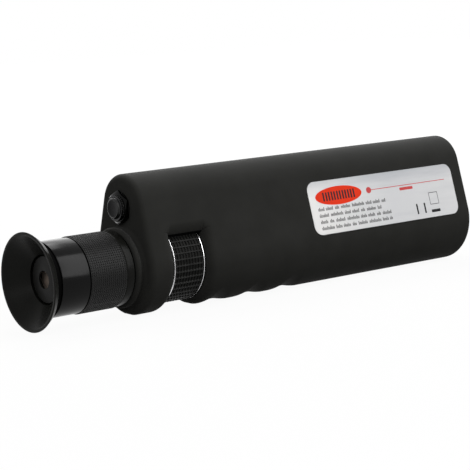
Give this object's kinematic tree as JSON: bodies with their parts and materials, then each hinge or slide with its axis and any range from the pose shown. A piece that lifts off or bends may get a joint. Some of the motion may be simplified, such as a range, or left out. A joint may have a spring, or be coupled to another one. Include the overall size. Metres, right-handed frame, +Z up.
{
  "type": "fiber inspection microscope",
  "caption": "Handheld microscope with a flared eyecup, knurled eyepiece, focus wheel in a grooved pear-shaped housing and a ferrule adapter at the far end.",
  "frame": {"origin": "under the middle of the part, on the level land that it stands on", "axes": "+X along the optical axis towards the ferrule adapter, -Y the side with the label, +Z up"},
  "size_m": [0.238, 0.04, 0.0574],
  "materials": {
    "soft_touch_black": "soft-touch matt",
    "satin_black": "satin",
    "screw_steel": "zinc plated",
    "label_foil": "satin foil",
    "cup_rubber": "matt",
    "gloss_black": "gloss",
    "knurl_black": "fine knurl",
    "lens_black": "matt",
    "lens_glass": "coated",
    "bronze": "sintered",
    "bright_chrome": "polished",
    "switch_black": "satin",
    "dark_nickel": "black nickel",
    "contact_brass": "satin",
    "cell_wrap": "plain wrap",
    "wheel_black": "black anodised, bright edges",
    "tube_black": "black anodised",
    "lamp_clear": "clear",
    "board_green": "solder mask",
    "button_black": "satin",
    "spring_steel": "bright",
    "seal_rubber": "matt"
  },
  "bodies": {
    "housing": {"housing": "soft_touch_black", "rear_cover": "satin_black", "rear_cover_screws": "screw_steel", "label_plate": "label_foil", "eyecup": "cup_rubber", "eyepiece_barrel": "gloss_black", "grip_ring": "knurl_black", "eye_lens_retainer": "lens_black", "eye_lens": "lens_glass", "lens_spacer": "lens_black", "field_lens": "lens_glass", "field_stop": "lens_black", "front_bearing": "bronze", "rear_bearing": "bronze", "adapter_mount": "bright_chrome", "mount_ring_nut": "bright_chrome", "ferrule_adapter": "bright_chrome", "switch_body": "switch_black", "switch_washer": "dark_nickel", "switch_nut": "dark_nickel", "battery_tube": "satin_black", "battery_contact": "contact_brass", "battery_1": "cell_wrap", "battery_2": "cell_wrap", "battery_3": "cell_wrap"},
    "focus_wheel": {"focus_wheel": "wheel_black", "focus_nut": "contact_brass"},
    "focus_carriage": {"objective_tube": "tube_black", "guide_pin": "screw_steel", "splitter_sleeve": "tube_black", "beam_splitter": "lens_glass", "led_holder": "satin_black", "led": "lamp_clear", "led_board": "board_green", "objective_cell": "contact_brass", "objective_front_lens": "lens_glass", "objective_rear_lens": "lens_glass"},
    "power_button": {"button_cap": "button_black", "button_spring": "spring_steel"},
    "cap_seal": {"cap_seal": "seal_rubber"},
    "battery_cap": {"battery_cap": "satin_black", "cap_spring": "spring_steel"}
  },
  "joints": [
    {"name": "focus_turn", "type": "hinge", "parent": "housing", "child": "focus_wheel", "pos_m": [-0.0529, 0, 0.01984], "axis": [1, 0, 0], "range_deg": [-360, 360]},
    {"name": "focus_slide", "type": "slide", "parent": "housing", "child": "focus_carriage", "axis": [1, 0, 0], "range_m": [-0.0016, 0.0016]},
    {"name": "button_press", "type": "slide", "parent": "housing", "child": "power_button", "axis": [1, 0, 0], "range_m": [0, 0.0012], "stiffness_N_per_m": 900, "springref_m": -0.001, "deforming": ["button_spring"]},
    {"name": "cap_out", "type": "slide", "parent": "housing", "child": "cap_seal", "axis": [1, 0, 0], "range_m": [0, 0.006]},
    {"name": "cap_turn", "type": "hinge", "parent": "cap_seal", "child": "battery_cap", "pos_m": [0.10795, 0, 0.04404], "axis": [1, 0, 0], "range_deg": [0, 1440]}
  ],
  "couplings": [
    {"joint": "focus_turn", "follows": "focus_slide", "rad_per_m": 3926.9},
    {"joint": "cap_turn", "follows": "cap_out", "rad_per_m": 4188.7}
  ]
}
